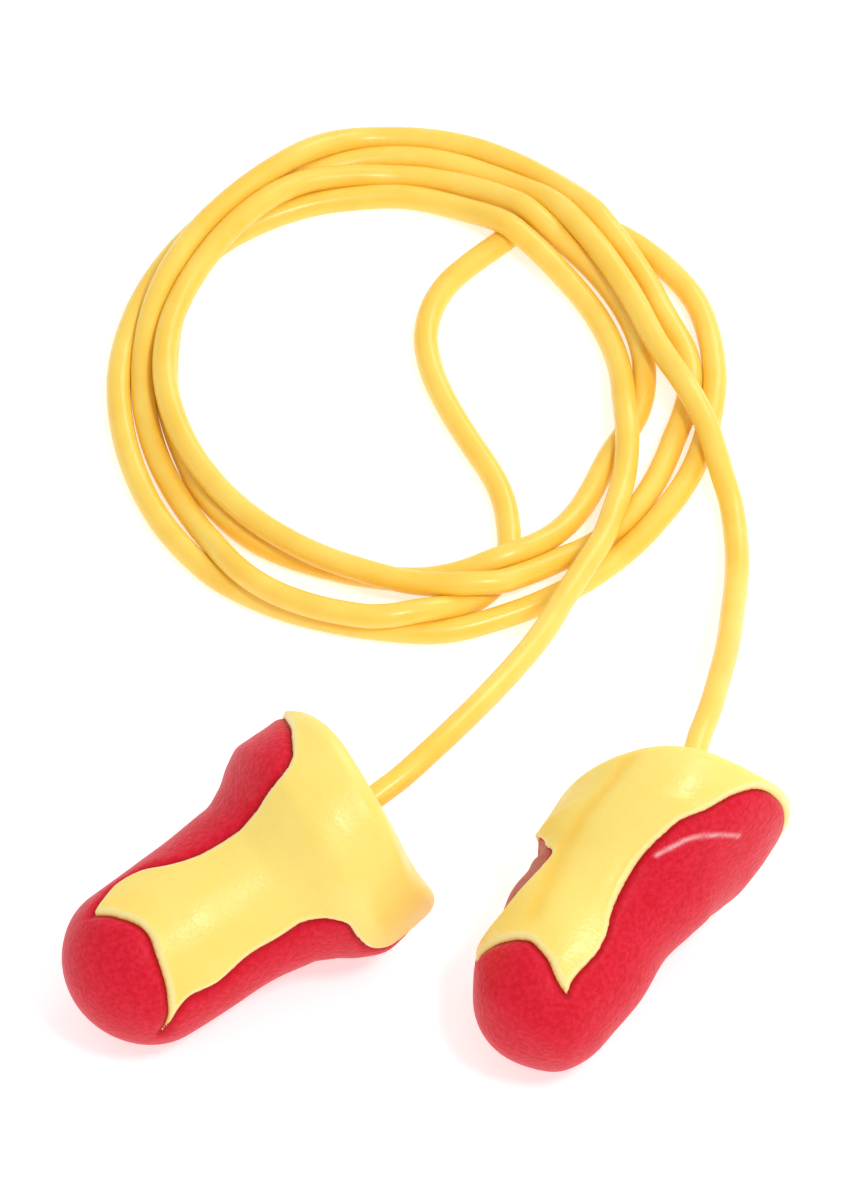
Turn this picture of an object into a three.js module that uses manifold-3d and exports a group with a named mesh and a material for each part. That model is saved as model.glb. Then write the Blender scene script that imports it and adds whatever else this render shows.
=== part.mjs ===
// Corded foam ear plugs: two flared plugs of two-colour foam joined by one soft cord, as put down on a table.
// Millimetres, +Z up. The table is z = 0 and the origin is on it, under the middle of the two plugs.
// +X runs to the right and +Y away from the plugs towards the coil.
import * as THREE from 'three';
import { mergeVertices } from 'three/addons/utils/BufferGeometryUtils.js';
import Module from 'manifold-3d';

const wasm = await Module();
wasm.setup();

// Driving dimensions of a plug.
const PLUG_LENGTH = 24.5;
const BODY_RADIUS = 5.65;
const FLARE_RADIUS = 8.5;
const DOME_LENGTH = 5.2;
const RIM_EDGE_RADIUS = 0.8;

// How finely a plug's outline is stepped.
const PLUG_SIDES = 44;
const DOME_STEPS = 7;
const NECK_STEPS = 15;
const RIM_EDGE_STEPS = 3;
const ARCH_STEPS = 6;
const SADDLE_STEPS = 10;

// Radius along the body and neck, from the end of the dome to the start of the straight rim.
const NECK_PROFILE = [
  [DOME_LENGTH, BODY_RADIUS],
  [9, 5.6],
  [13, 5.38],
  [15.4, 5.5],
  [17.2, 6.35],
  [18.6, 7.55],
  [19.9, 8.35],
  [21.2, FLARE_RADIUS],
];

// The yellow foam is a saddle along the top of the body. It widens into the flare and covers the flat base.
const SADDLE_FLOOR = 1.2;
const SADDLE_TOP = 12;
const BASE_SKIN = 1.3;
const FOAM_GAP = 0.3;
// Half-width of the saddle against distance from the tip, from its front corner to the flare.
const SADDLE_OUTLINE = [
  [4.3, 4.5],
  [7, 4.7],
  [10, 4.55],
  [13.5, 4.15],
  [16.5, 4.3],
  [19.5, 5.4],
  [PLUG_LENGTH - BASE_SKIN, 6.3],
];
// The red dome bites an arch out of the saddle's front end.
const DOME_ARCH = [
  [4.3, 4.5],
  [5.5, 3.2],
  [6.1, 1.6],
  [6.3, 0],
];

// The cord, and the blind bore that it is glued into.
const CORD_DIAMETER = 1.7;
const CORD_SIDES = 8;
const CORD_STEP = 4;
const CLEARANCE = 0.3;
const BORE_DEPTH = 7;
const BORE_SIDES = 12;
const CORD_END_SIDES = 10;
const GLUE_LENGTH = 0.9;
// How far a cutting shape reaches past what it cuts.
const OVERHANG = 2;

// Where each plug lies. centre is the middle of its base, azimuth the way its base faces, in degrees.
// roll turns the saddle about the plug's axis, towards the plug's right when positive.
// Soft foam takes a set, so each flare is pushed a little out of true: shorten moves its middle towards
// the tip, slant its left side and lean its top, and narrow draws its sides in. girth is the plug's width.
const LEFT_PLUG = {
  name: 'left',
  centre: [-4.25, 6.08],
  azimuth: 35.5,
  roll: 28,
  girth: 1,
  shorten: 0,
  slant: 0,
  lean: 0.09,
  narrow: 0,
  boreYaw: 0,
};
const RIGHT_PLUG = {
  name: 'right',
  centre: [17.3, 5.69],
  azimuth: 54.7,
  roll: -24,
  girth: 0.92,
  shorten: 2.6,
  slant: 0.55,
  lean: -0.2,
  narrow: 0.14,
  boreYaw: 17,
};
const SLANT_START = 8;

// The coil's outer shape, and the routes of the stretches of cord that aren't coiled.
const COIL_CENTRE = [-1.55, 47];
const COIL_INNER_RADIUS = 13.6;
const COIL_OUTER_RADIUS = 22.2;
const COIL_HEIGHT = 4.2;
const COIL_CORNER = 1.2;
const COIL_SIDES = 56;

const LEFT_TAIL = [
  [-3.2, 6.8, 9.15],
  [-1.9, 7.8, 9.4],
  [0.2, 10, 9.5],
  [3, 13.7, 8.8],
  [5.7, 18, 7.5],
  [7.6, 21.6, 6.2],
  [8.6, 23.9, 5.4],
  [9.5, 26.4, 4.5],
];
const RIGHT_TAIL = [
  [17.7, 6.7, 9.45],
  [18, 8.1, 9.6],
  [18.65, 11.1, 9.4],
  [19.45, 14.3, 8.4],
  [20.15, 18.2, 6.7],
  [20.75, 22.1, 4.9],
  [21.1, 25.8, 3.3],
  [21.4, 29.2, 2.1],
  [21.5, 32, 1.4],
  [21.4, 34.3, 1.1],
  [21.2, 36.2, 1.05],
  [20.9, 37.6, 1.3],
  [20.4, 39.1, 1.8],
];
const INNER_BIGHT = [
  [5.55, 36.2, 0.85],
  [5.2, 37.8, 0.85],
  [4.4, 39.7, 0.85],
  [3.2, 41.9, 0.85],
  [1.7, 44.8, 0.85],
  [0.4, 48.2, 0.85],
  [0, 51.6, 0.85],
  [1, 54.9, 0.85],
  [2.6, 56.9, 0.85],
  [4.1, 58.3, 0.85],
];

const foamYellow = new THREE.MeshStandardMaterial({ color: 0xfbe07a, roughness: 0.62, metalness: 0 });
const foamRed = new THREE.MeshStandardMaterial({ color: 0xd81f3c, roughness: 0.55, metalness: 0 });
const cordYellow = new THREE.MeshStandardMaterial({ color: 0xfdc93c, roughness: 0.32, metalness: 0 });
const glueClear = new THREE.MeshStandardMaterial({ color: 0xe8d9a8, roughness: 0.3, metalness: 0 });

const group = new THREE.Group();

// Adds a named mesh with its own copy of a material.
function addPiece(name, geometry, material) {
  const mesh = new THREE.Mesh(geometry, material.clone());
  mesh.name = name;
  group.add(mesh);
  return mesh;
}

// Turns a closed geometry into a solid that can be cut and joined.
function solidOf(geometry) {
  const bare = geometry.clone();
  bare.deleteAttribute('normal');
  bare.deleteAttribute('uv');
  const merged = mergeVertices(bare, 1e-4);
  const vertProperties = Float32Array.from(merged.attributes.position.array);
  const triVerts = Uint32Array.from(merged.index.array);
  return new wasm.Manifold(new wasm.Mesh({ numProp: 3, vertProperties, triVerts }));
}

// Turns a solid back into a geometry.
function geometryOf(solid) {
  const mesh = solid.getMesh();
  const geometry = new THREE.BufferGeometry();
  geometry.setAttribute('position', new THREE.BufferAttribute(Float32Array.from(mesh.vertProperties), 3));
  geometry.setIndex(new THREE.BufferAttribute(Uint32Array.from(mesh.triVerts), 1));
  geometry.computeVertexNormals();
  return geometry;
}

function smoothstep(x) {
  const t = Math.min(1, Math.max(0, x));
  return t * t * (3 - 2 * t);
}

// A plug's own frame: +X from the tip to the base, +Y to its left, +Z up.
function plugProfile() {
  const points = [];
  for (let i = 0; i < DOME_STEPS; i += 1) {
    const angle = (i / DOME_STEPS) * Math.PI / 2;
    points.push(new THREE.Vector2(BODY_RADIUS * Math.sin(angle), DOME_LENGTH * (1 - Math.cos(angle))));
  }
  const neck = new THREE.SplineCurve(NECK_PROFILE.map(([s, r]) => new THREE.Vector2(r, s)));
  points.push(...neck.getPoints(NECK_STEPS));
  for (let i = 0; i <= RIM_EDGE_STEPS; i += 1) {
    const angle = (i / RIM_EDGE_STEPS) * Math.PI / 2;
    points.push(new THREE.Vector2(
      FLARE_RADIUS - RIM_EDGE_RADIUS * (1 - Math.cos(angle)),
      PLUG_LENGTH - RIM_EDGE_RADIUS * (1 - Math.sin(angle)),
    ));
  }
  points[0].x = 0;
  points.push(new THREE.Vector2(0, PLUG_LENGTH));
  return points;
}

function plugSolid() {
  const geometry = new THREE.LatheGeometry(plugProfile(), PLUG_SIDES);
  geometry.rotateZ(-Math.PI / 2);
  return solidOf(geometry);
}

// The region that the yellow foam fills, before it is cut by the plug's own surface.
// grow widens it on every side that faces the red foam.
function yellowRegion(grow) {
  const side = new THREE.SplineCurve(SADDLE_OUTLINE.map(([s, w]) => new THREE.Vector2(s, w + grow)));
  const corner = DOME_ARCH[0][1];
  const arch = new THREE.SplineCurve(
    DOME_ARCH.map(([s, w]) => new THREE.Vector2(s - grow, w + grow * w / corner)),
  );
  const half = [...arch.getPoints(ARCH_STEPS).reverse(), ...side.getPoints(SADDLE_STEPS).slice(1)];
  const outline = [
    ...half,
    new THREE.Vector2(PLUG_LENGTH + OVERHANG, half[half.length - 1].y),
  ];
  const mirrored = outline.slice(1).reverse().map((p) => new THREE.Vector2(p.x, -p.y));
  const saddle = new THREE.ExtrudeGeometry(new THREE.Shape([...outline, ...mirrored]), {
    depth: SADDLE_TOP - SADDLE_FLOOR + grow,
    bevelEnabled: false,
    steps: 1,
  });
  saddle.translate(0, 0, SADDLE_FLOOR - grow);
  const skinDepth = BASE_SKIN + grow;
  const radius = FLARE_RADIUS + OVERHANG;
  const skin = new THREE.CylinderGeometry(radius, radius, skinDepth + OVERHANG, PLUG_SIDES);
  skin.rotateZ(-Math.PI / 2);
  skin.translate(PLUG_LENGTH + (OVERHANG - skinDepth) / 2, 0, 0);
  return solidOf(saddle).add(solidOf(skin));
}

// Pushes a plug's flare out of true.
function slantPoint(point, plug) {
  const weight = smoothstep((point.x - SLANT_START) / (PLUG_LENGTH - SLANT_START));
  point.x -= weight * (plug.shorten + plug.slant * point.y + plug.lean * point.z);
  point.y *= plug.girth * (1 - plug.narrow * weight);
  return point;
}

function slantGeometry(geometry, plug) {
  const position = geometry.attributes.position;
  const point = new THREE.Vector3();
  for (let i = 0; i < position.count; i += 1) {
    point.fromBufferAttribute(position, i);
    slantPoint(point, plug);
    position.setXYZ(i, point.x, point.y, point.z);
  }
  return geometry;
}

// The tilt, in radians, at which the dome and the flare both touch the table.
function restingTilt(geometry) {
  const position = geometry.attributes.position;
  let low = 0;
  let high = 0.5;
  for (let round = 0; round < 40; round += 1) {
    const tilt = (low + high) / 2;
    let front = Infinity;
    let back = Infinity;
    for (let i = 0; i < position.count; i += 1) {
      const height = position.getZ(i) * Math.cos(tilt) + position.getX(i) * Math.sin(tilt);
      if (position.getX(i) < PLUG_LENGTH / 2) {
        front = Math.min(front, height);
      } else {
        back = Math.min(back, height);
      }
    }
    if (front > back) {
      low = tilt;
    } else {
      high = tilt;
    }
  }
  return (low + high) / 2;
}

// A rod along the plug's bore, from one depth to another below the middle of the base.
function boreRod(plug, radius, sides, fromDepth, toDepth) {
  const rod = new THREE.CylinderGeometry(radius, radius, toDepth - fromDepth, sides);
  rod.rotateZ(Math.PI / 2);
  rod.translate(-(fromDepth + toDepth) / 2, 0, 0);
  rod.rotateZ(THREE.MathUtils.degToRad(plug.boreYaw));
  rod.translate(PLUG_LENGTH - plug.shorten, 0, 0);
  return rod;
}

function addPlug(plug) {
  const roll = THREE.MathUtils.degToRad(plug.roll);
  const whole = plugSolid();
  const yellow = geometryOf(whole.intersect(yellowRegion(0)));
  const red = geometryOf(whole.subtract(yellowRegion(FOAM_GAP)));
  const outer = slantGeometry(geometryOf(whole), plug);
  const tilt = restingTilt(outer);

  // The mould's colours are rolled about the axis first, and then the flare takes its set.
  const bore = solidOf(boreRod(plug, CORD_DIAMETER / 2 + CLEARANCE, BORE_SIDES, -OVERHANG, BORE_DEPTH));
  const pieces = [
    ['plug_yellow_foam', yellow, foamYellow],
    ['plug_red_foam', red, foamRed],
  ].map(([name, geometry, material]) => {
    geometry.rotateX(roll);
    slantGeometry(geometry, plug);
    return [name, geometryOf(solidOf(geometry).subtract(bore)), material];
  });
  const cordDepth = BORE_DEPTH - GLUE_LENGTH - 2 * CLEARANCE;
  const glueDepth = BORE_DEPTH - CLEARANCE;
  const cordEnd = boreRod(plug, CORD_DIAMETER / 2, CORD_END_SIDES, 0, cordDepth);
  const glueBead = boreRod(plug, CORD_DIAMETER / 2, CORD_END_SIDES, glueDepth - GLUE_LENGTH, glueDepth);

  pieces.push(['cord_end', cordEnd, cordYellow], ['glue_bead', glueBead, glueClear]);

  const place = new THREE.Matrix4().makeRotationY(-tilt);
  outer.applyMatrix4(place);
  outer.computeBoundingBox();
  const base = new THREE.Vector3(PLUG_LENGTH - plug.shorten, 0, 0).applyMatrix4(place);
  place.premultiply(new THREE.Matrix4().makeTranslation(-base.x, -base.y, -outer.boundingBox.min.z));
  place.premultiply(new THREE.Matrix4().makeRotationZ(THREE.MathUtils.degToRad(plug.azimuth)));
  place.premultiply(new THREE.Matrix4().makeTranslation(plug.centre[0], plug.centre[1], 0));
  for (const [name, geometry, material] of pieces) {
    addPiece(`${plug.name}_${name}`, geometry, material).applyMatrix4(place);
  }
}

// A round tube along a smooth curve through the points.
function cordTube(points) {
  const curve = new THREE.CatmullRomCurve3(points.map((p) => new THREE.Vector3(...p)), false, 'centripetal');
  const section = new THREE.Shape();
  section.absarc(0, 0, CORD_DIAMETER / 2, 0, Math.PI * 2, false);
  return new THREE.ExtrudeGeometry(section, {
    steps: Math.ceil(curve.getLength() / CORD_STEP),
    curveSegments: CORD_SIDES,
    bevelEnabled: false,
    extrudePath: curve,
  });
}

// The coil as one ring with a flat underside and rounded corners.
function coilRing() {
  const low = COIL_INNER_RADIUS;
  const high = COIL_OUTER_RADIUS;
  const c = COIL_CORNER;
  const profile = [
    new THREE.Vector2(low, c),
    new THREE.Vector2(low + c * 0.3, 0),
    new THREE.Vector2(high - c * 0.3, 0),
    new THREE.Vector2(high, c),
    new THREE.Vector2(high, COIL_HEIGHT - c),
    new THREE.Vector2(high - c, COIL_HEIGHT),
    new THREE.Vector2(low + c, COIL_HEIGHT),
    new THREE.Vector2(low, COIL_HEIGHT - c),
    new THREE.Vector2(low, c),
  ];
  const ring = new THREE.LatheGeometry(profile, COIL_SIDES);
  ring.rotateX(Math.PI / 2);
  ring.translate(COIL_CENTRE[0], COIL_CENTRE[1], 0);
  return ring;
}

addPlug(LEFT_PLUG);
addPlug(RIGHT_PLUG);
addPiece('cord_left_tail', cordTube(LEFT_TAIL), cordYellow);
addPiece('cord_coil', coilRing(), cordYellow);
addPiece('cord_inner_bight', cordTube(INNER_BIGHT), cordYellow);
addPiece('cord_right_tail', cordTube(RIGHT_TAIL), cordYellow);

export default group;
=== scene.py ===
import math

import bpy
import numpy as np
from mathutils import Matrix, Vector, noise
from mathutils.kdtree import KDTree


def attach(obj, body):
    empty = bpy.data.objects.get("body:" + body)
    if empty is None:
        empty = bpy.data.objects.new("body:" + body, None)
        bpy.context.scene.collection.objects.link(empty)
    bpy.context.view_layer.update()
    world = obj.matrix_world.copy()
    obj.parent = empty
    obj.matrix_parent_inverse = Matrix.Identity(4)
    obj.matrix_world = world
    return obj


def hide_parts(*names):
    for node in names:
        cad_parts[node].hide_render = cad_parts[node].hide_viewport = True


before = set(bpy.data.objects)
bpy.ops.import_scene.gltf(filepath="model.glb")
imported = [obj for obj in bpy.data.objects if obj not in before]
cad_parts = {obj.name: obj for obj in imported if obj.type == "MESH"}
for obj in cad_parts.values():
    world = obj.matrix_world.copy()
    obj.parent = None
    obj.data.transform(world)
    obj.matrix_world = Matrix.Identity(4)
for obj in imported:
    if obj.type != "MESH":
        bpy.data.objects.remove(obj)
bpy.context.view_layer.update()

# ---------------------------------------------------------------------------------------------------------
# Camera

VIEW_ELEVATION = 55
VIEW_DISTANCE = 2.0
VIEW_HEIGHT = 0.08293
VIEW_TARGET = (0.00027, 0.02938, 0)


def add_camera():
    """A camera far off behind a long lens. VIEW_HEIGHT is what the frame's long side covers at the target."""
    elevation = math.radians(VIEW_ELEVATION)
    back = Vector((0, -math.cos(elevation), math.sin(elevation)))
    data = bpy.data.cameras.new("camera")
    data.sensor_width = 36
    data.lens = data.sensor_width * VIEW_DISTANCE / VIEW_HEIGHT
    data.clip_start = 0.1
    data.clip_end = 10
    camera = bpy.data.objects.new("camera", data)
    camera.location = Vector(VIEW_TARGET) + back * VIEW_DISTANCE
    camera.rotation_mode = "QUATERNION"
    camera.rotation_quaternion = (-back).to_track_quat("-Z", "Y")
    bpy.context.collection.objects.link(camera)
    bpy.context.scene.camera = camera


# ---------------------------------------------------------------------------------------------------------
# Curves and meshes


def smoothstep(x):
    t = np.clip(x, 0, 1)
    return t * t * (3 - 2 * t)


def monotone(x, y, at):
    """A smooth curve through the points (x, y) that doesn't overshoot between them."""
    x, y, at = np.array(x, float), np.array(y, float), np.array(at, float)
    width = np.diff(x)
    rise = np.diff(y) / width
    slope = np.zeros(len(x))
    slope[0], slope[-1] = rise[0], rise[-1]
    for i in range(1, len(x) - 1):
        if rise[i - 1] * rise[i] > 0:
            before, after = 2 * width[i] + width[i - 1], width[i] + 2 * width[i - 1]
            slope[i] = (before + after) / (before / rise[i - 1] + after / rise[i])
    i = np.clip(np.searchsorted(x, at) - 1, 0, len(width) - 1)
    t = (at - x[i]) / width[i]
    return (
        (2 * t**3 - 3 * t**2 + 1) * y[i]
        + (t**3 - 2 * t**2 + t) * width[i] * slope[i]
        + (3 * t**2 - 2 * t**3) * y[i + 1]
        + (t**3 - t**2) * width[i] * slope[i + 1]
    )


def through(points, step):
    """A smooth curve through the points, as points about step apart."""
    p = np.array(points, float)
    p = np.vstack([2 * p[0] - p[1], p, 2 * p[-1] - p[-2]])
    made = []
    for i in range(1, len(p) - 2):
        knots = [0.0]
        for k in range(3):
            knots.append(knots[-1] + math.sqrt(np.linalg.norm(p[i + k] - p[i + k - 1])))
        count = max(2, math.ceil(np.linalg.norm(p[i + 1] - p[i]) / step))
        t = np.linspace(knots[1], knots[2], count, endpoint=False)[:, None]
        a = [
            ((knots[k + 1] - t) * p[i + k - 1] + (t - knots[k]) * p[i + k]) / (knots[k + 1] - knots[k])
            for k in range(3)
        ]
        b = [
            ((knots[k + 2] - t) * a[k] + (t - knots[k]) * a[k + 1]) / (knots[k + 2] - knots[k])
            for k in range(2)
        ]
        made.append(((knots[2] - t) * b[0] + (t - knots[1]) * b[1]) / (knots[2] - knots[1]))
    return np.vstack([*made, p[-2:-1]])


def respaced(line, step):
    """The line again, with its points the same distance apart, about step."""
    along = np.concatenate([[0], np.cumsum(np.linalg.norm(np.diff(line, axis=0), axis=1))])
    at = np.linspace(0, along[-1], math.ceil(along[-1] / step) + 1)
    return np.stack([np.interp(at, along, line[:, k]) for k in range(line.shape[1])], axis=1)


def add_mesh(name, points, faces, material):
    mesh = bpy.data.meshes.new(name)
    mesh.from_pydata([tuple(p) for p in points], [], [tuple(f) for f in faces])
    mesh.validate()
    mesh.shade_smooth()
    mesh.materials.append(material)
    piece = bpy.data.objects.new(name, mesh)
    bpy.context.collection.objects.link(piece)
    return piece


def store(piece, name, values):
    """Keeps one number per point on the mesh, for its material to read."""
    attribute = piece.data.attributes.new(name, "FLOAT", "POINT")
    attribute.data.foreach_set("value", np.array(values, np.float32))


# ---------------------------------------------------------------------------------------------------------
# The cord

CORD_DIAMETER = 0.0017
CORD_SIDES = 16
CORD_STEP = 0.0004
# How far each end of the cord goes on, past its first point, into the plug's mouth.
CORD_SEAT = 0.0017
# How much of the cord, from each plug on, hangs free and isn't moved as the turns settle.
LEFT_FREE = 0.024
RIGHT_FREE = 0.036
COIL_CENTRE = (-0.00155, 0.047)

# The stretches that aren't coiled, from the left plug to the right one.
LEFT_TAIL = [
    (-0.0032, 0.0068, 0.00915),
    (-0.0019, 0.0078, 0.0094),
    (0.0002, 0.01, 0.0095),
    (0.003, 0.0137, 0.0088),
    (0.0057, 0.018, 0.0075),
    (0.0076, 0.0216, 0.0062),
    (0.0086, 0.0239, 0.0054),
    (0.0095, 0.0264, 0.0045),
]
INNER_BIGHT = [
    (0.00025, 0.0269, 0.0021),
    (0.00265, 0.0281, 0.0014),
    (0.00445, 0.0297, 0.00085),
    (0.00545, 0.0315, 0.00085),
    (0.00575, 0.0334, 0.00085),
    (0.00555, 0.0362, 0.00085),
    (0.0052, 0.0378, 0.00085),
    (0.0044, 0.0397, 0.00085),
    (0.0032, 0.0419, 0.00085),
    (0.0017, 0.0448, 0.00085),
    (0.0004, 0.0482, 0.00085),
    (0.0, 0.0516, 0.00085),
    (0.0010, 0.0549, 0.00085),
    (0.0026, 0.0569, 0.00085),
    (0.0041, 0.0583, 0.00085),
]
OUTER_BIGHT = [
    (0.0076, 0.0610, 0.00085),
    (0.0104, 0.0610, 0.00085),
    (0.0136, 0.0596, 0.00085),
    (0.0165, 0.0572, 0.00085),
    (0.0187, 0.0542, 0.00085),
    (0.0197, 0.0507, 0.00085),
    (0.0199, 0.0470, 0.00085),
    (0.0195, 0.0433, 0.00085),
    (0.0189, 0.0410, 0.00085),
]
RIGHT_TAIL = [
    (0.0177, 0.0067, 0.00945),
    (0.018, 0.0081, 0.0096),
    (0.01865, 0.0111, 0.0094),
    (0.01945, 0.0143, 0.0084),
    (0.02015, 0.0182, 0.0067),
    (0.02075, 0.0221, 0.0049),
    (0.0211, 0.0258, 0.0033),
    (0.0214, 0.0292, 0.0021),
    (0.0215, 0.032, 0.0014),
    (0.0214, 0.0343, 0.0011),
    (0.0212, 0.0362, 0.00105),
    (0.0209, 0.0376, 0.0013),
    (0.0204, 0.0391, 0.0018),
    (0.0198, 0.0412, 0.0025),
    (0.019, 0.0433, 0.003),
    (0.01785, 0.0457, 0.0034),
]

# The coil's turns about COIL_CENTRE, as angle from +X in degrees, radius and height.
# The first three turns run anticlockwise. The last one runs clockwise, after the cord has doubled back.
FIRST_TURNS = [
    (-54, 0.0213, 0.0036),
    (-36.6, 0.0184, 0.0029),
    (-4.8, 0.0154, 0.0026),
    (20, 0.0147, 0.0026),
    (45, 0.0143, 0.0025),
    (60, 0.0146, 0.0020),
    (75, 0.0154, 0.0013),
    (90, 0.0163, 0.00095),
    (110, 0.0169, 0.00085),
    (130, 0.0174, 0.00085),
    (145, 0.0178, 0.00085),
    (165, 0.0171, 0.00085),
    (180, 0.0166, 0.00085),
    (200, 0.0163, 0.00085),
    (215, 0.0166, 0.00085),
    (230, 0.0167, 0.00085),
    (250, 0.0164, 0.00095),
    (270, 0.0165, 0.0012),
    (297, 0.0172, 0.0026),
    (336, 0.0155, 0.00085),
    (355, 0.0164, 0.00085),
    (369, 0.0168, 0.0017),
    (402, 0.0165, 0.0026),
    (432, 0.0173, 0.0018),
    (450, 0.0179, 0.0010),
    (470, 0.0180, 0.0017),
    (490, 0.0174, 0.0024),
    (510, 0.0170, 0.0026),
    (540, 0.0166, 0.0026),
    (560, 0.0163, 0.0026),
    (580, 0.0162, 0.0026),
    (617, 0.0168, 0.0026),
    (653, 0.0189, 0.0026),
    (661, 0.0185, 0.0023),
    (670, 0.0185, 0.0016),
    (677, 0.0191, 0.0011),
    (706, 0.0193, 0.00085),
    (723, 0.0201, 0.0012),
    (740, 0.0189, 0.0026),
    (765, 0.0188, 0.0026),
    (785, 0.0202, 0.0019),
    (800, 0.0208, 0.0012),
    (815, 0.0208, 0.0011),
    (828, 0.0200, 0.0017),
    (841, 0.0192, 0.0025),
    (856, 0.0188, 0.0026),
    (875, 0.0183, 0.0021),
    (895, 0.0182, 0.0017),
    (912, 0.0181, 0.0014),
    (925, 0.0182, 0.0010),
    (937, 0.0185, 0.0010),
    (946, 0.0192, 0.0017),
    (955, 0.0203, 0.0024),
    (966, 0.0208, 0.00255),
    (990, 0.0209, 0.0025),
]
LAST_TURN = [
    (-23, 0.0212, 0.00085),
    (-30, 0.0210, 0.00085),
    (-69, 0.0207, 0.00085),
    (-85, 0.0207, 0.00085),
    (-100, 0.0206, 0.00085),
    (-120, 0.0207, 0.00085),
    (-140, 0.0205, 0.00085),
    (-160, 0.0200, 0.00085),
    (-180, 0.01965, 0.00085),
    (-195, 0.0194, 0.00085),
    (-210, 0.0194, 0.00085),
    (-240, 0.0195, 0.00085),
    (-270, 0.0195, 0.00095),
    (-300, 0.0180, 0.0026),
    (-330, 0.0170, 0.0042),
    (-349, 0.0174, 0.0042),
    (-356, 0.0182, 0.0040),
]
TURN_STEP = 8


def turns(stations):
    """Points along the coil's turns, one every TURN_STEP degrees."""
    angle, radius, height = np.array(stations, float).T
    way = 1 if angle[-1] > angle[0] else -1
    at = way * np.arange(way * angle[0], way * angle[-1] + 0.1, TURN_STEP)
    r = monotone(way * angle, radius, way * at)
    z = monotone(way * angle, height, way * at)
    a = np.radians(at)
    return np.stack([COIL_CENTRE[0] + r * np.cos(a), COIL_CENTRE[1] + r * np.sin(a), z], axis=1)


# How the turns settle: the spacing of the points that are moved, the rounds, how many steps along the cord
# count as the same stretch, the drop in each round, the share of a move that friction takes back, the share
# of a contact's overlap that each of its two turns gives way, and the share that stiffness spreads.
SETTLE_STEP = 0.00085
SETTLE_ROUNDS = 400
SEARCH_EVERY = 8
PASSES = 3
NEAR_STEPS = 4
DROP = 0.00002
HOLD = 0.08
GIVE = 0.25
SMOOTH = 0.2
FREE_FADE = 0.01


def smoothed(moved, share):
    """Evens out how far neighbouring points have moved."""
    made = moved.copy()
    made[1:-1] += share * (moved[:-2] - 2 * moved[1:-1] + moved[2:])
    return made


def settle(route, held_start, held_end):
    """Lets the cord come to rest. Each round it drops until it touches the table or another turn, turns that
    lie closer than a diameter push each other apart, friction holds it near its route, and its stiffness
    spreads each move over its neighbours. The two ends, which run free to the plugs, stay as they are."""
    route = respaced(route, SETTLE_STEP)
    n = len(route)
    along = np.arange(n) * SETTLE_STEP
    from_start, from_end = along - held_start, along[-1] - held_end - along
    loose = smoothstep(from_start / FREE_FADE) * smoothstep(from_end / FREE_FADE)
    floor = CORD_DIAMETER / 2 - route[:, 2]
    first, second = np.triu_indices(n, NEAR_STEPS)
    moved = np.zeros_like(route)
    for turn in range(SETTLE_ROUNDS):
        moved[:, 2] -= DROP
        moved[:, :2] *= 1 - HOLD
        if turn % SEARCH_EVERY == 0:
            apart = np.abs(route[first] + moved[first] - route[second] - moved[second]).max(axis=1)
            near = apart < 1.5 * CORD_DIAMETER
            a, b = first[near], second[near]
        for _ in range(PASSES):
            way = route[b] + moved[b] - route[a] - moved[a]
            away = np.linalg.norm(way, axis=1)
            push = np.maximum(CORD_DIAMETER - away, 0) * GIVE
            shift = way / np.maximum(away, 1e-9)[:, None] * push[:, None]
            np.add.at(moved, a, -shift)
            np.add.at(moved, b, shift)
            moved = smoothed(moved, SMOOTH)
            moved[:, 2] = np.maximum(moved[:, 2], floor)
        moved *= loose[:, None]
    return route + moved


def cord_frames(line):
    """Two directions across the line at each of its points, with no twist from one to the next."""
    along = np.gradient(line, axis=0)
    along /= np.linalg.norm(along, axis=1, keepdims=True)
    side = np.zeros_like(line)
    side[0] = np.cross(along[0], (0, 0, 1))
    side[0] /= np.linalg.norm(side[0])
    for i in range(1, len(line)):
        side[i] = side[i - 1] - along[i] * (side[i - 1] @ along[i])
        side[i] /= np.linalg.norm(side[i])
    return side, np.cross(along, side)


def seat(tail):
    """Where the cord ends inside a plug: straight on from the first two points of its tail."""
    first, second = np.array(tail[0]), np.array(tail[1])
    return first - CORD_SEAT * (second - first) / np.linalg.norm(second - first)


def cord_route():
    return np.vstack(
        [
            seat(LEFT_TAIL),
            LEFT_TAIL,
            turns(FIRST_TURNS),
            INNER_BIGHT,
            OUTER_BIGHT,
            turns(LAST_TURN),
            RIGHT_TAIL[::-1],
            seat(RIGHT_TAIL),
        ]
    )


def add_cord(material):
    """One round cord from plug to plug. It stands for every CAD solid of the cord outside the plugs."""
    line = settle(through(cord_route(), SETTLE_STEP / 3), LEFT_FREE, RIGHT_FREE)
    line = respaced(through(line[::2], CORD_STEP / 2), CORD_STEP)
    side, up = cord_frames(line)
    around = np.arange(CORD_SIDES) * 2 * math.pi / CORD_SIDES
    radius = CORD_DIAMETER / 2
    rings = (
        line[:, None]
        + radius * np.cos(around)[None, :, None] * side[:, None]
        + radius * np.sin(around)[None, :, None] * up[:, None]
    )
    rings[:, :, 2] = np.maximum(rings[:, :, 2], 0)
    points = rings.reshape(-1, 3)
    faces = []
    for i in range(len(line) - 1):
        for k in range(CORD_SIDES):
            a, b = i * CORD_SIDES + k, i * CORD_SIDES + (k + 1) % CORD_SIDES
            faces.append((a, a + CORD_SIDES, b + CORD_SIDES, b))
    last = (len(line) - 1) * CORD_SIDES
    faces.append(tuple(range(CORD_SIDES)))
    faces.append(tuple(range(last + CORD_SIDES - 1, last - 1, -1)))
    cord = add_mesh("cord", points, faces, material)
    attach(cord, "cord")
    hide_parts("cord_left_tail", "cord_coil", "cord_inner_bight", "cord_right_tail")


# ---------------------------------------------------------------------------------------------------------
# Materials


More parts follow.
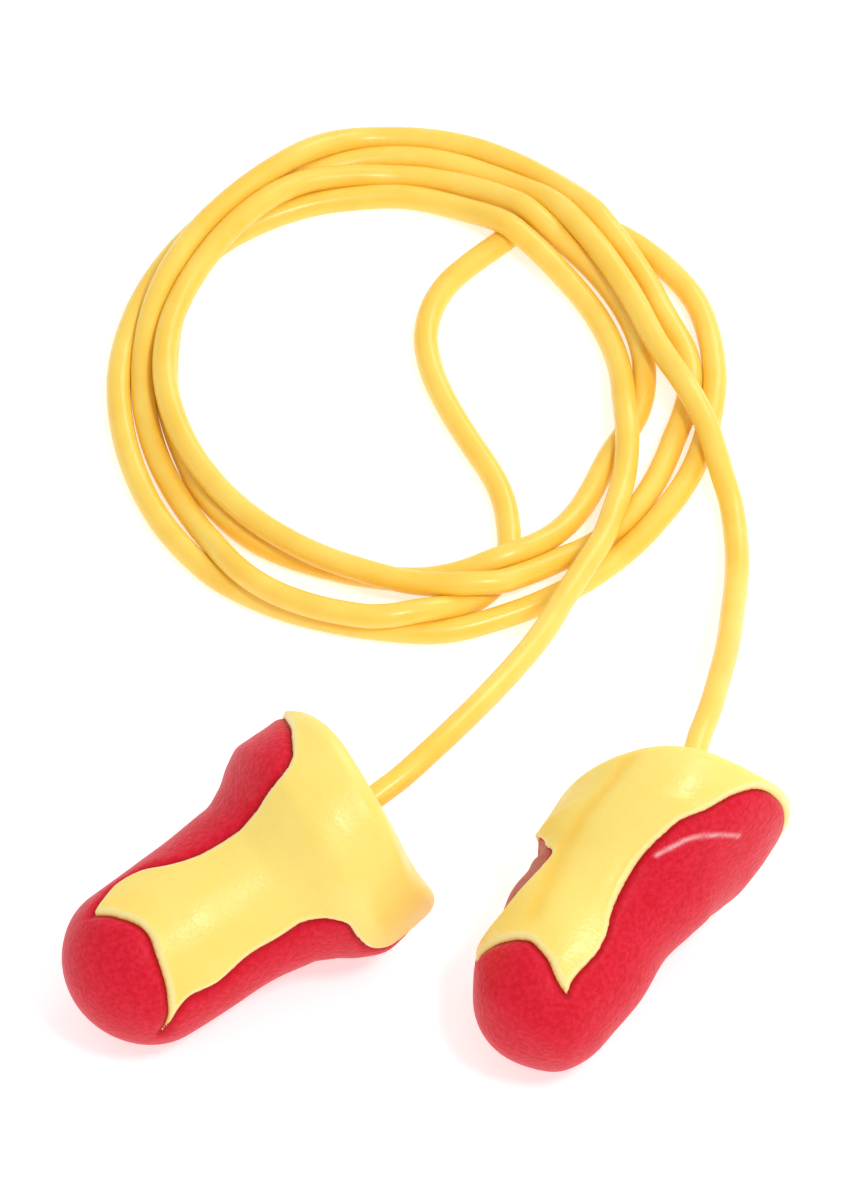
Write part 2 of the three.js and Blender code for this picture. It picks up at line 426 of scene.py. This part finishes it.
def srgb(red, green, blue):
    """A colour as seen on a screen, 0 to 255, as Blender's linear colour."""
    made = []
    for value in (red, green, blue):
        v = value / 255
        made.append(v / 12.92 if v <= 0.04045 else ((v + 0.055) / 1.055) ** 2.4)
    return (*made, 1)


def grey(value):
    return (value, value, value, 1)


BLACK = grey(0)
WHITE = grey(1)


class Nodes:
    """A material's node tree, with short calls to add and join nodes."""

    def __init__(self, name):
        self.material = bpy.data.materials.new(name)
        self.material.use_nodes = True
        self.tree = self.material.node_tree
        self.shader = self.tree.nodes["Principled BSDF"]

    def add(self, kind, **settings):
        node = self.tree.nodes.new("ShaderNode" + kind)
        for key, value in settings.items():
            if key in node.inputs:
                node.inputs[key].default_value = value
            else:
                setattr(node, key, value)
        return node

    def join(self, out, into):
        self.tree.links.new(out, into)

    def noise(self, scale, detail=3, roughness=0.5):
        place = self.add("TexCoord")
        made = self.add("TexNoise", Scale=scale, Detail=detail, Roughness=roughness)
        self.join(place.outputs["Object"], made.inputs["Vector"])
        return made.outputs["Fac"]

    def cells(self, scale):
        place = self.add("TexCoord")
        made = self.add("TexVoronoi", Scale=scale)
        self.join(place.outputs["Object"], made.inputs["Vector"])
        return made.outputs["Distance"]

    def ramp(self, value, stops):
        """Turns a number into a colour. stops are (place, colour)."""
        made = self.add("ValToRGB")
        ramp = made.color_ramp
        while len(ramp.elements) < len(stops):
            ramp.elements.new(0.5)
        for element, (place, colour) in zip(ramp.elements, stops):
            element.position = place
            element.color = colour
        self.join(value, made.inputs["Fac"])
        return made.outputs["Color"]

    def mix(self, factor, a, b):
        made = self.add("Mix", data_type="RGBA")
        sockets = {s.identifier: s for s in made.inputs}
        for value, socket in ((factor, "Factor_Float"), (a, "A_Color"), (b, "B_Color")):
            if isinstance(value, bpy.types.NodeSocket):
                self.join(value, sockets[socket])
            else:
                sockets[socket].default_value = value
        return {s.identifier: s for s in made.outputs}["Result_Color"]

    def tint(self, base, mask, share, colour):
        """Mixes a colour into base by share where mask is white, and by less where it is darker."""
        return self.mix(self.mix(share, BLACK, mask), base, colour)

    def stored(self, name):
        return self.add("Attribute", attribute_name=name).outputs["Fac"]

    def bump(self, heights):
        """heights are (value, distance in metres). They are laid one on another."""
        normal = None
        for value, distance in heights:
            made = self.add("Bump", Strength=1.0, Distance=distance)
            self.join(value, made.inputs["Height"])
            if normal is not None:
                self.join(normal, made.inputs["Normal"])
            normal = made.outputs["Normal"]
        self.join(normal, self.shader.inputs["Normal"])

    def set(self, **values):
        for key, value in values.items():
            self.shader.inputs[key.replace("_", " ")].default_value = value


def cord_material():
    made = Nodes("cord_pvc")
    wide = made.noise(260, detail=2)
    base = made.ramp(wide, [(0.35, srgb(252, 205, 72)), (0.65, srgb(255, 215, 92))])
    made.join(base, made.shader.inputs["Base Color"])
    made.set(Roughness=0.4, Subsurface_Weight=0.25, Subsurface_Scale=0.0006)
    made.set(Subsurface_Radius=(1.0, 0.6, 0.15), Coat_Weight=0.3, Coat_Roughness=0.22)
    made.bump([(made.noise(900, detail=3), 0.00003), (made.noise(5200, detail=2), 0.000006)])
    return made.material


def yellow_material():
    made = Nodes("yellow_foam")
    wide = made.noise(170, detail=3)
    base = made.ramp(wide, [(0.3, srgb(252, 219, 108)), (0.7, srgb(255, 227, 122))])
    # Painted shade makes the yellow deeper in colour over the dome and along the fold; the foam is paler on
    # the lip by the red.
    dome = made.ramp(made.stored("dome"), [(0.0, WHITE), (0.5, BLACK)])
    base = made.tint(base, dome, 0.5, srgb(255, 210, 84))
    base = made.tint(base, made.stored("shaded_fold"), 0.6, srgb(255, 203, 62))
    lip = made.ramp(made.stored("edge"), [(0.0, BLACK), (0.03, WHITE), (0.08, WHITE), (0.14, BLACK)])
    base = made.tint(base, lip, 0.55, srgb(254, 238, 180))
    made.join(base, made.shader.inputs["Base Color"])
    patches = made.ramp(made.noise(380, detail=2), [(0.4, grey(0.31)), (0.6, grey(0.45))])
    made.join(patches, made.shader.inputs["Roughness"])
    made.set(Subsurface_Weight=0.2, Subsurface_Scale=0.0009)
    made.set(Subsurface_Radius=(1.0, 0.7, 0.25), Sheen_Weight=0.03, Sheen_Roughness=0.5)
    made.bump(
        [
            (made.noise(420, detail=3), 0.00007),
            (made.cells(3600), 0.000015),
            (made.noise(9000, detail=2), 0.000006),
        ]
    )
    return made.material


def red_material():
    made = Nodes("red_foam")
    wide = made.noise(210, detail=4)
    base = made.ramp(wide, [(0.3, srgb(210, 8, 32)), (0.7, srgb(218, 18, 46))])
    speck = made.ramp(made.noise(2600, detail=2), [(0.4, srgb(204, 4, 30)), (0.62, srgb(226, 34, 66))])
    base = made.mix(0.5, base, speck)
    # A dark line follows the yellow foam's edge, a painted highlight makes the wrinkle pale in patches, and
    # painted shade makes the pit brown.
    line = made.ramp(made.stored("edge"), [(0.0, WHITE), (0.05, WHITE), (0.12, BLACK)])
    base = made.tint(base, line, 0.75, srgb(176, 0, 22))
    shine = made.ramp(made.noise(700, detail=1), [(0.4, grey(0.12)), (0.6, grey(0.75))])
    base = made.tint(base, shine, made.stored("glinting_wrinkle"), srgb(255, 208, 212))
    base = made.tint(base, made.stored("shaded_pit"), 0.9, srgb(176, 92, 66))
    made.join(base, made.shader.inputs["Base Color"])
    made.set(Roughness=0.5, Specular_IOR_Level=0.16, Subsurface_Weight=0.12, Subsurface_Scale=0.0008)
    made.set(Subsurface_Radius=(1.0, 0.25, 0.2), Sheen_Weight=0.08, Sheen_Roughness=0.5)
    made.bump(
        [
            (made.noise(420, detail=3), 0.00012),
            (made.cells(2800), 0.00004),
            (made.noise(7000, detail=2), 0.00002),
        ]
    )
    return made.material


def glue_material():
    made = Nodes("clear_glue")
    tint = made.ramp(made.noise(900), [(0.3, srgb(226, 212, 160)), (0.7, srgb(240, 228, 186))])
    made.join(tint, made.shader.inputs["Base Color"])
    made.set(Roughness=0.22, Subsurface_Weight=0.4, Subsurface_Scale=0.0006)
    return made.material


# ---------------------------------------------------------------------------------------------------------
# The plugs

PLUG_LENGTH = 0.0245
BODY_RADIUS = 0.00565
FLARE_RADIUS = 0.0085
DOME_LENGTH = 0.0052
RIM_EDGE = 0.0011
NECK_PROFILE = [
    (DOME_LENGTH, BODY_RADIUS),
    (0.009, 0.0056),
    (0.013, 0.00538),
    (0.0154, 0.0055),
    (0.0172, 0.00635),
    (0.0186, 0.00755),
    (0.0199, 0.00835),
    (0.0212, FLARE_RADIUS),
]
MOUTH_RADIUS = 0.00145
MOUTH_DEPTH = 0.0012
BORE_RADIUS = 0.00115
BORE_DEPTH = 0.007
SLANT_START = 0.008

GRID_STEP = 0.00019
GRID_SIDES = 232
EDGE_STEP = 0.0001

# Where each plug lies, as in the CAD model: centre is the middle of its base, azimuth the way its base faces.
# girth and narrow scale its width, all along and more towards the flare.
# shorten, slant and lean say how far the flare is pushed in along the axis: all of it, more towards one side,
# and more towards the top.
# bore_yaw turns the bore about the middle of the base.
# Other angles are about the plug's axis in degrees, from its top towards its right.
# swells: how the soft foam has taken a set, each as distance from the tip, angle, push outwards, and the
# reach along the plug and round it.
# rim: how far the rim stands out along the axis, each as angle, push and reach round it.
# arch, left_edge and right_edge run along the colours' edges, as distance from the tip and angle.
# fold is a shallow crease in the yellow skin, with painted shade along it, wrinkle a fine raised line on the
# red, with a painted highlight on it, and pit the hollow where the flare folds over the neck, painted brown
# as shade. They are given the same way.
LEFT_PLUG = {
    "name": "left",
    "centre": (-0.00425, 0.00608),
    "azimuth": 35.5,
    "girth": 1,
    "shorten": 0,
    "slant": 0,
    "lean": 0.09,
    "narrow": 0,
    "bore_yaw": 0,
    "swells": [
        (0, 0, -0.00025, 0.0035, 900),
        (0.0165, 118, 0.0014, 0.0050, 45),
        (0.0080, 118, 0.0004, 0.0050, 45),
        (0.0145, -75, 0.0005, 0.0040, 35),
        (0.0220, -75, -0.0005, 0.0030, 35),
        (0.0240, 80, -0.0005, 0.0030, 30),
    ],
    "rim": [
        (-15, 0.0008, 35),
        (72, -0.00065, 28),
    ],
    "arch": [
        (0.0042, -29),
        (0.0047, -21),
        (0.0052, -12),
        (0.0059, 2),
        (0.0061, 16),
        (0.0057, 31),
        (0.0052, 48),
        (0.0046, 65),
        (0.0042, 76),
        (0.0034, 92),
    ],
    "left_edge": [
        (0.0042, -29),
        (0.0053, -35),
        (0.0070, -43),
        (0.0086, -39),
        (0.0105, -24),
        (0.0124, -16),
        (0.0148, -12),
        (0.0167, -10),
        (0.0186, -8),
        (0.0201, -8),
        (0.0211, -12),
        (0.0219, -20),
        (0.0226, -31),
        (0.0234, -52),
        (0.0238, -85),
        (0.0234, -130),
        (0.0232, -180),
    ],
    "right_edge": [
        (0.0034, 92),
        (0.0043, 81),
        (0.0051, 74),
        (0.0061, 71),
        (0.0071, 73),
        (0.0082, 75),
        (0.0111, 72),
        (0.0134, 74),
        (0.0159, 73),
        (0.0176, 75),
        (0.0184, 79),
        (0.0185, 87),
        (0.0187, 95),
        (0.0191, 102),
        (0.0199, 107),
        (0.0213, 112),
        (0.0230, 124),
        (0.0233, 150),
        (0.0232, 180),
    ],
    "shaded_fold": [],
    "glinting_wrinkle": [],
    "shaded_pit": [],
}
RIGHT_PLUG = {
    "name": "right",
    "centre": (0.0173, 0.00569),
    "azimuth": 54.7,
    "girth": 0.92,
    "shorten": 0.0026,
    "slant": 0.55,
    "lean": -0.2,
    "narrow": 0.14,
    "bore_yaw": 17,
    "swells": [
        (0.0030, -70, -0.0006, 0.0045, 55),
        (0.0056, -80, 0.0005, 0.0018, 35),
        (0.0120, -72, 0.0012, 0.0050, 45),
        (0.0160, -78, 0.0009, 0.0020, 40),
        (0.0200, -35, -0.0008, 0.0035, 45),
        (0.0160, 112, 0.0012, 0.0030, 45),
        (0.0095, 110, 0.0005, 0.0035, 45),
        (0.0190, 90, -0.0006, 0.0016, 35),
    ],
    "rim": [
        (45, -0.0012, 40),
    ],
    "arch": [
        (0.0046, -78),
        (0.0052, -58),
        (0.0056, -47),
        (0.0060, -36),
        (0.0065, -25),
        (0.0067, -14),
        (0.0065, -4),
        (0.0062, 7),
        (0.0056, 18),
        (0.0052, 28),
        (0.0050, 36),
    ],
    "left_edge": [
        (0.0046, -78),
        (0.0058, -73),
        (0.0072, -65),
        (0.0082, -58),
        (0.0096, -51),
        (0.0108, -48),
        (0.0119, -47),
        (0.0133, -47),
        (0.0146, -47),
        (0.0155, -52),
        (0.0165, -60),
        (0.0180, -70),
        (0.0200, -84),
        (0.0224, -112),
        (0.0231, -145),
        (0.0232, -180),
    ],
    "right_edge": [
        (0.0050, 36),
        (0.0061, 33),
        (0.0077, 35),
        (0.0087, 36),
        (0.0101, 34),
        (0.0112, 29),
        (0.0122, 26),
        (0.0133, 24),
        (0.0154, 22),
        (0.0167, 23),
        (0.0177, 26),
        (0.0187, 29),
        (0.0194, 34),
        (0.0201, 38),
        (0.0211, 42),
        (0.0223, 48),
        (0.0234, 58),
        (0.0238, 80),
        (0.0234, 130),
        (0.0232, 180),
    ],
    "shaded_fold": [
        (0.0230, -20),
        (0.0207, -23),
        (0.0192, -28),
        (0.0181, -34),
        (0.0168, -39),
        (0.0147, -38),
        (0.0111, -29),
        (0.0085, -24),
    ],
    "glinting_wrinkle": [
        (0.0166, 31),
        (0.0174, 36),
        (0.0182, 41),
        (0.0190, 52),
        (0.0198, 65),
    ],
    "shaded_pit": [
        (0.0075, -72),
        (0.0096, -60),
        (0.0115, -58),
        (0.0135, -60),
        (0.0155, -66),
        (0.0174, -78),
        (0.0190, -90),
    ],
}

# How far the foams stand out, in metres, against distance from the colours' edge.
LIP_HEIGHT = 0.00012
EDGE_DEPTH = 0.00026
SHELL_DEPTH = 0.0008
CORE_DEPTH = 0.0011
FOLD_DEPTH = 0.00012
FOLD_WIDTH = 0.0008
WRINKLE_HEIGHT = 0.00009
WRINKLE_WIDTH = 0.00016
PIT_DEPTH = 0.0004
PIT_WIDTH = 0.0016
# The edge's rounding, the lip's place and width, and how far in from the edge each skin reaches full depth.
ROUND_WIDTH = 0.0005
LIP_PLACE = 0.00035
LIP_WIDTH = 0.00028
GROOVE_WIDTH = 0.0004
DEEP_WIDTH = 0.0009
UNDER_GAP = 0.00006
CORE_GAP = 0.0001
# How much deeper the red's groove at the edge is than the yellow's.
EDGE_MORE = 1.1
# The distance from the colours' edge that the materials read as 1, and where along the plug the dome's colour
# fades.
EDGE_SCALE = 0.004
DOME_FADE_START = 0.0045
DOME_FADE = 0.008
# How the colours' edge wanders: the size, in steps of the outline, the pace, and the fade towards its ends.
WANDER = 0.9
WANDER_PACE = 0.045
WANDER_FADE = 40


def plug_profile():
    """The plug's outline from the tip to the rim, over the base and down the bore: distance along the axis,
    radius, and the outward direction, at points about GRID_STEP apart."""
    theta = np.linspace(0, math.pi / 2, 60)
    dome = np.stack([DOME_LENGTH * (1 - np.cos(theta)), BODY_RADIUS * np.sin(theta)], axis=1)
    s, r = np.array(NECK_PROFILE).T
    at = np.linspace(s[0], s[-1], 200)[1:]
    neck = np.stack([at, monotone(s, r, at)], axis=1)
    theta = np.linspace(0, math.pi / 2, 16)
    rim = np.stack(
        [
            PLUG_LENGTH - RIM_EDGE * (1 - np.sin(theta)),
            FLARE_RADIUS - RIM_EDGE * (1 - np.cos(theta)),
        ],
        axis=1,
    )
    mouth = [
        (PLUG_LENGTH, MOUTH_RADIUS + 0.0005),
        (PLUG_LENGTH - 0.00012, MOUTH_RADIUS + 0.0002),
        (PLUG_LENGTH - 0.0004, MOUTH_RADIUS),
        (PLUG_LENGTH - MOUTH_DEPTH, BORE_RADIUS),
        (PLUG_LENGTH - BORE_DEPTH, BORE_RADIUS),
    ]
    line = respaced(np.vstack([dome, neck, rim, mouth]), GRID_STEP)
    tangent = np.gradient(line, axis=0)
    tangent /= np.linalg.norm(tangent, axis=1, keepdims=True)
    return line, np.stack([-tangent[:, 1], tangent[:, 0]], axis=1)


PROFILE, PROFILE_OUT = plug_profile()
RIM_INDEX = int(np.argmax(PROFILE[:, 0] > PLUG_LENGTH - RIM_EDGE / 3))
# How many steps of the outline it takes, from the rim in over the base, for the set of the foam to fade.
RIM_FADE = 26
TIP_REACH = 0.0022


def at_profile(index, offset):
    """Axis distance and radius at a place along the outline, counted in its points, moved out by offset."""
    count = np.arange(len(PROFILE))
    s, r, out_s, out_r = (
        np.interp(index, count, column)
        for column in (PROFILE[:, 0], PROFILE[:, 1], PROFILE_OUT[:, 0], PROFILE_OUT[:, 1])
    )
    return s + offset * out_s, np.maximum(r + offset * out_r, 0)


def round_axis(index, degrees, offset):
    """Points of the undeformed plug, in its own frame: +X from tip to base, +Y to its left, +Z up."""
    s, r = at_profile(index, offset)
    a = np.radians(degrees)
    return np.stack([s, -r * np.sin(a), r * np.cos(a)], axis=1)


def hump(s, degrees, middle, reach):
    """A smooth hump round the plug: 1 at the angle middle, fading over reach, and even round the tip."""
    away = (degrees - middle + 180) % 360 - 180
    return 1 + (np.exp(-((away / reach) ** 2)) - 1) * smoothstep(s / TIP_REACH)


def bored(index, degrees, offset, plug):
    """Points of the bore and its mouth, which stay round and straight, turned by bore_yaw about the base."""
    x, y, z = round_axis(index, degrees, offset).T
    yaw = math.radians(plug["bore_yaw"])
    x = x - PLUG_LENGTH
    turned = [x * math.cos(yaw) - y * math.sin(yaw), x * math.sin(yaw) + y * math.cos(yaw), z]
    return np.stack(turned, axis=1) + [PLUG_LENGTH - plug["shorten"], 0, 0]


def shaped(index, degrees, offset, plug):
    """Points of the plug as the foam has set, still in the plug's own frame."""
    s = np.interp(index, np.arange(len(PROFILE)), PROFILE[:, 0])
    # The bore keeps its shape, so the swells and the rim's push fade out towards it.
    outside = smoothstep((RIM_INDEX + RIM_FADE - index) / RIM_FADE)
    for place, middle, push, along, reach in plug["swells"]:
        height = push * np.exp(-(((s - place) / along) ** 2))
        offset = offset + outside * height * hump(s, degrees, middle, reach)
    x, y, z = round_axis(index, degrees, offset).T
    weight = smoothstep((x - SLANT_START) / (PLUG_LENGTH - SLANT_START))
    x = x - weight * (plug["shorten"] + plug["slant"] * y + plug["lean"] * z)
    for middle, push, reach in plug["rim"]:
        x = x + outside * weight**3 * push * hump(s, degrees, middle, reach)
    y = y * plug["girth"] * (1 - plug["narrow"] * weight)
    outside = outside[:, None]
    return outside * np.stack([x, y, z], axis=1) + (1 - outside) * bored(index, degrees, offset, plug)


def placer(plug):
    """The move that lays a plug on the table so that its dome and its flare both touch it."""
    rows, turn = np.arange(0, len(PROFILE), 4), np.arange(-180, 180, 4)
    index, degrees = (g.ravel() for g in np.meshgrid(rows, turn, indexing="ij"))
    outer = shaped(index, degrees, 0 * degrees, plug)
    front = outer[:, 0] < PLUG_LENGTH / 2
    low, high = 0.0, 0.5
    for _ in range(40):
        tilt = (low + high) / 2
        height = outer[:, 2] * math.cos(tilt) + outer[:, 0] * math.sin(tilt)
        if height[front].min() > height[~front].min():
            low = tilt
        else:
            high = tilt
    drop = -height.min()
    base = PLUG_LENGTH - plug["shorten"]
    azimuth = math.radians(plug["azimuth"])

    def place(points):
        x, y, z = points.T
        forward = (x - base) * math.cos(tilt) - z * math.sin(tilt)
        up = z * math.cos(tilt) + x * math.sin(tilt) + drop
        return np.stack(
            [
                plug["centre"][0] + forward * math.cos(azimuth) - y * math.sin(azimuth),
                plug["centre"][1] + forward * math.sin(azimuth) + y * math.cos(azimuth),
                np.maximum(up, 0),
            ],
            axis=1,
        )

    return place


def profile_index(s):
    """Where along the outline the plug's outside lies at a distance s from the tip."""
    return np.interp(s, PROFILE[: RIM_INDEX, 0], np.arange(RIM_INDEX))


def colour_edge(plug):
    """The yellow foam's outline as points (place along the outline, angle), and the same in 3-D.
    The last side runs over the base, past the end of the outline."""
    left, arch, right = (on_plug(plug[key]) for key in ("left_edge", "arch", "right_edge"))
    real = np.vstack([left[::-1], arch[1:], right[1:]])
    real[0, 1], real[-1, 1] = -180, 180
    count = np.arange(len(real))
    wander = np.array([noise.noise(Vector((i * WANDER_PACE, 0.3, plug["azimuth"]))) for i in count])
    fade = np.minimum(count, count[::-1]) / WANDER_FADE
    real[:, 0] += WANDER * wander * np.clip(fade, 0, 1)
    end = len(PROFILE) + 5
    outline = np.vstack([real, [(end, 180), (end, -180)]])
    return outline, round_axis(real[:, 0], real[:, 1], 0 * real[:, 0])


def inside(points, outline):
    """Which points lie inside a closed outline."""
    found = np.zeros(len(points), bool)
    x, y = points.T
    for (x0, y0), (x1, y1) in zip(outline, np.roll(outline, -1, axis=0)):
        if y0 == y1:
            continue
        crosses = (y0 > y) != (y1 > y)
        found ^= crosses & (x < (x1 - x0) * (y - y0) / (y1 - y0) + x0)
    return found


def distance_to(line, index, degrees):
    """Distance from places on the plug to a line of points."""
    tree = KDTree(len(line))
    for i, p in enumerate(line):
        tree.insert(p, i)
    tree.balance()
    return np.array([tree.find(p)[2] for p in round_axis(index, degrees, 0 * index)])


def on_plug(stations):
    """A smooth curve through points given as distance from the tip and angle, as places along the outline
    and angles."""
    curve = through([(s, math.radians(a) * BODY_RADIUS) for s, a in stations], EDGE_STEP)
    return np.stack([profile_index(curve[:, 0]), np.degrees(curve[:, 1] / BODY_RADIUS)], axis=1)


def along_line(stations, index, degrees, width):
    """1 on a line drawn on the plug, fading over width."""
    if not stations:
        return 0 * index
    at, angle = on_plug(stations).T
    return np.exp(-((distance_to(round_axis(at, angle, 0 * at), index, degrees) / width) ** 2))


def edge_distance(index, degrees, outline, line):
    """Distance to the colours' edge, positive in the yellow foam."""
    far = distance_to(line, index, degrees)
    within = inside(np.stack([index, np.clip(degrees, -179.999, 179.999)], axis=1), outline)
    return np.where(within, far, -far)


def plug_grid(plug):
    """The whole skin as triangles: each point's place along the outline, its angle, and its edge distance."""
    rows = len(PROFILE)
    grid = np.meshgrid(np.arange(rows), np.arange(GRID_SIDES), indexing="ij")
    index, column = (g.ravel() for g in grid)
    degrees = column * 360 / GRID_SIDES - 180
    outline, line = colour_edge(plug)
    distance = edge_distance(index.astype(float), degrees, outline, line)
    triangles = []
    for i in range(rows - 1):
        for k in range(GRID_SIDES):
            after = (k + 1) % GRID_SIDES
            a, b = i * GRID_SIDES + k, i * GRID_SIDES + after
            c, d = a + GRID_SIDES, b + GRID_SIDES
            if i > 0:
                triangles.append((a, b, c) if (i + k) % 2 else (a, b, d))
                triangles.append((b, d, c) if (i + k) % 2 else (a, d, c))
            else:
                triangles.append((0, d, c))
    return index.astype(float), degrees, distance, triangles


def packed(faces):
    """The points that the faces use, in order, and the faces counted in those."""
    used = sorted({i for f in faces for i in f})
    renumbered = {old: new for new, old in enumerate(used)}
    return used, [tuple(renumbered[i] for i in f) for f in faces]


def clipped(index, degrees, distance, triangles):
    """The yellow part of the grid, cut along the colours' edge itself."""
    index, degrees, distance = list(index), list(degrees), list(distance)
    cut = {}

    def crossing(a, b):
        key = (min(a, b), max(a, b))
        if key not in cut:
            t = distance[a] / (distance[a] - distance[b])
            turn = (degrees[b] - degrees[a] + 180) % 360 - 180
            cut[key] = len(index)
            index.append(index[a] + t * (index[b] - index[a]))
            degrees.append(degrees[a] + t * turn)
            distance.append(0.0)
        return cut[key]

    faces = []
    for corner in triangles:
        side = [distance[i] > 0 for i in corner]
        if all(side):
            faces.append(corner)
        elif any(side):
            loop = []
            for k in range(3):
                a, b = corner[k], corner[(k + 1) % 3]
                if side[k]:
                    loop.append(a)
                if side[k] != side[(k + 1) % 3]:
                    loop.append(crossing(a, b))
            faces.append(tuple(loop))
    used, faces = packed(faces)
    return (*(np.array(column, float)[used] for column in (index, degrees, distance)), faces)


def open_edges(faces):
    """The edges that only one face has, in that face's direction."""
    seen = {}
    for f in faces:
        for edge in zip(f, f[1:] + f[:1]):
            seen[edge] = True
    return [(a, b) for a, b in seen if (b, a) not in seen]


def add_yellow(plug, grid, place, material):
    """A closed shell: the skin that shows, a second skin under it, and walls along its edges."""
    index, degrees, distance, faces = clipped(*grid)
    edge = np.clip(distance / ROUND_WIDTH, 0, 1)
    rounded = np.sqrt(1 - (1 - edge) ** 2)
    lip = np.exp(-(((distance - LIP_PLACE) / LIP_WIDTH) ** 2))
    shaded_fold = along_line(plug["shaded_fold"], index, degrees, FOLD_WIDTH)
    outer = LIP_HEIGHT * 0.6 * rounded + LIP_HEIGHT * 0.7 * lip * edge - EDGE_DEPTH * (1 - rounded)
    outer = outer - FOLD_DEPTH * shaded_fold
    inner = -EDGE_DEPTH - UNDER_GAP - (SHELL_DEPTH - EDGE_DEPTH) * smoothstep(distance / DEEP_WIDTH)
    top = place(shaped(index, degrees, outer, plug))
    under = place(shaped(index, degrees, inner, plug))
    n = len(top)
    walls = [(b, a, a + n, b + n) for a, b in open_edges(faces)]
    back = [tuple(i + n for i in f[::-1]) for f in faces]
    name = plug["name"] + "_plug_yellow_foam"
    piece = add_mesh(name + "_skin", np.vstack([top, under]), [*faces, *back, *walls], material)
    store(piece, "edge", np.tile(distance / EDGE_SCALE, 2))
    # The fold mask also tells the material where to paint shade along the crease.
    store(piece, "shaded_fold", np.tile(shaded_fold, 2))
    # The dome mask tells the material where to paint shade, deepest near the dome.
    s = np.interp(index, np.arange(len(PROFILE)), PROFILE[:, 0])
    store(piece, "dome", np.tile(np.clip((s - DOME_FADE_START) / DOME_FADE, 0, 1), 2))
    return piece, name


def add_red(plug, grid, place, material):
    """The whole core, sunk under the yellow foam."""
    index, degrees, distance, triangles = grid
    groove = EDGE_DEPTH * EDGE_MORE * np.exp(-((distance / GROOVE_WIDTH) ** 2))
    sunk = EDGE_DEPTH * EDGE_MORE + CORE_GAP + (CORE_DEPTH - EDGE_DEPTH) * smoothstep(distance / DEEP_WIDTH)
    glinting_wrinkle = along_line(plug["glinting_wrinkle"], index, degrees, WRINKLE_WIDTH)
    shaded_pit = along_line(plug["shaded_pit"], index, degrees, PIT_WIDTH)
    bare = WRINKLE_HEIGHT * glinting_wrinkle - np.maximum(groove, PIT_DEPTH * shaded_pit)
    offset = np.where(distance > 0, -sunk, bare)
    points = place(shaped(index, degrees, offset, plug))
    bottom = tuple(range(len(index) - GRID_SIDES, len(index)))
    used, faces = packed([*triangles, bottom])
    points = points[used]
    name = plug["name"] + "_plug_red_foam"
    piece = add_mesh(name + "_core", points, faces, material)
    store(piece, "edge", -distance[used] / EDGE_SCALE)
    # The wrinkle mask also tells the material where to paint a highlight on the raised line.
    store(piece, "glinting_wrinkle", glinting_wrinkle[used])
    # The pit mask also tells the material where to paint brown shade in the hollow.
    store(piece, "shaded_pit", shaded_pit[used])
    return piece, name


def add_plug(plug, yellow, red):
    grid = plug_grid(plug)
    place = placer(plug)
    for piece, node in (add_yellow(plug, grid, place, yellow), add_red(plug, grid, place, red)):
        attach(piece, plug["name"] + "_plug")
        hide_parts(node)


# ---------------------------------------------------------------------------------------------------------
# The table and the light


def add_table():
    made = Nodes("table")
    made.join(
        made.ramp(made.noise(40), [(0.3, srgb(216, 216, 216)), (0.7, srgb(219, 219, 219))]),
        made.shader.inputs["Base Color"],
    )
    made.set(Roughness=0.8, Specular_IOR_Level=0.1, Emission_Color=(1, 1, 1, 1), Emission_Strength=0.55)
    half = 1.5
    corners = [(-half, -half, 0), (half, -half, 0), (half, half, 0), (-half, half, 0)]
    table = add_mesh("table", corners, [(0, 1, 2, 3)], made.material)


def add_light(name, place, target, size, watts, colour=(1, 1, 1)):
    data = bpy.data.lights.new(name, "AREA")
    data.shape = "DISK"
    data.size = size
    data.energy = watts
    data.color = colour
    light = bpy.data.objects.new(name, data)
    light.location = place
    way = Vector(target) - Vector(place)
    light.rotation_mode = "QUATERNION"
    light.rotation_quaternion = way.to_track_quat("-Z", "Y")
    bpy.context.collection.objects.link(light)


def add_lights():
    world = bpy.data.worlds.new("studio")
    world.use_nodes = True
    world.node_tree.nodes["Background"].inputs["Color"].default_value = (1, 1, 1, 1)
    world.node_tree.nodes["Background"].inputs["Strength"].default_value = 0.7
    bpy.context.scene.world = world
    middle = (0, 0.03, 0)
    add_light("key", (0.21, -0.17, 0.53), middle, 0.12, 1.25, (1, 0.99, 0.97))
    add_light("back", (0.3, 0.4, 0.35), middle, 0.3, 0.8)
    bpy.context.scene.view_settings.view_transform = "Standard"


add_camera()
add_cord(cord_material())
foam_yellow, foam_red = yellow_material(), red_material()
add_plug(LEFT_PLUG, foam_yellow, foam_red)
add_plug(RIGHT_PLUG, foam_yellow, foam_red)
cord_finish, glue_finish = cord_material(), glue_material()
for side in ("left", "right"):
    for part, finish in (("_cord_end", cord_finish), ("_glue_bead", glue_finish)):
        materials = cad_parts[side + part].data.materials
        materials.clear()
        materials.append(finish)
add_table()
add_lights()
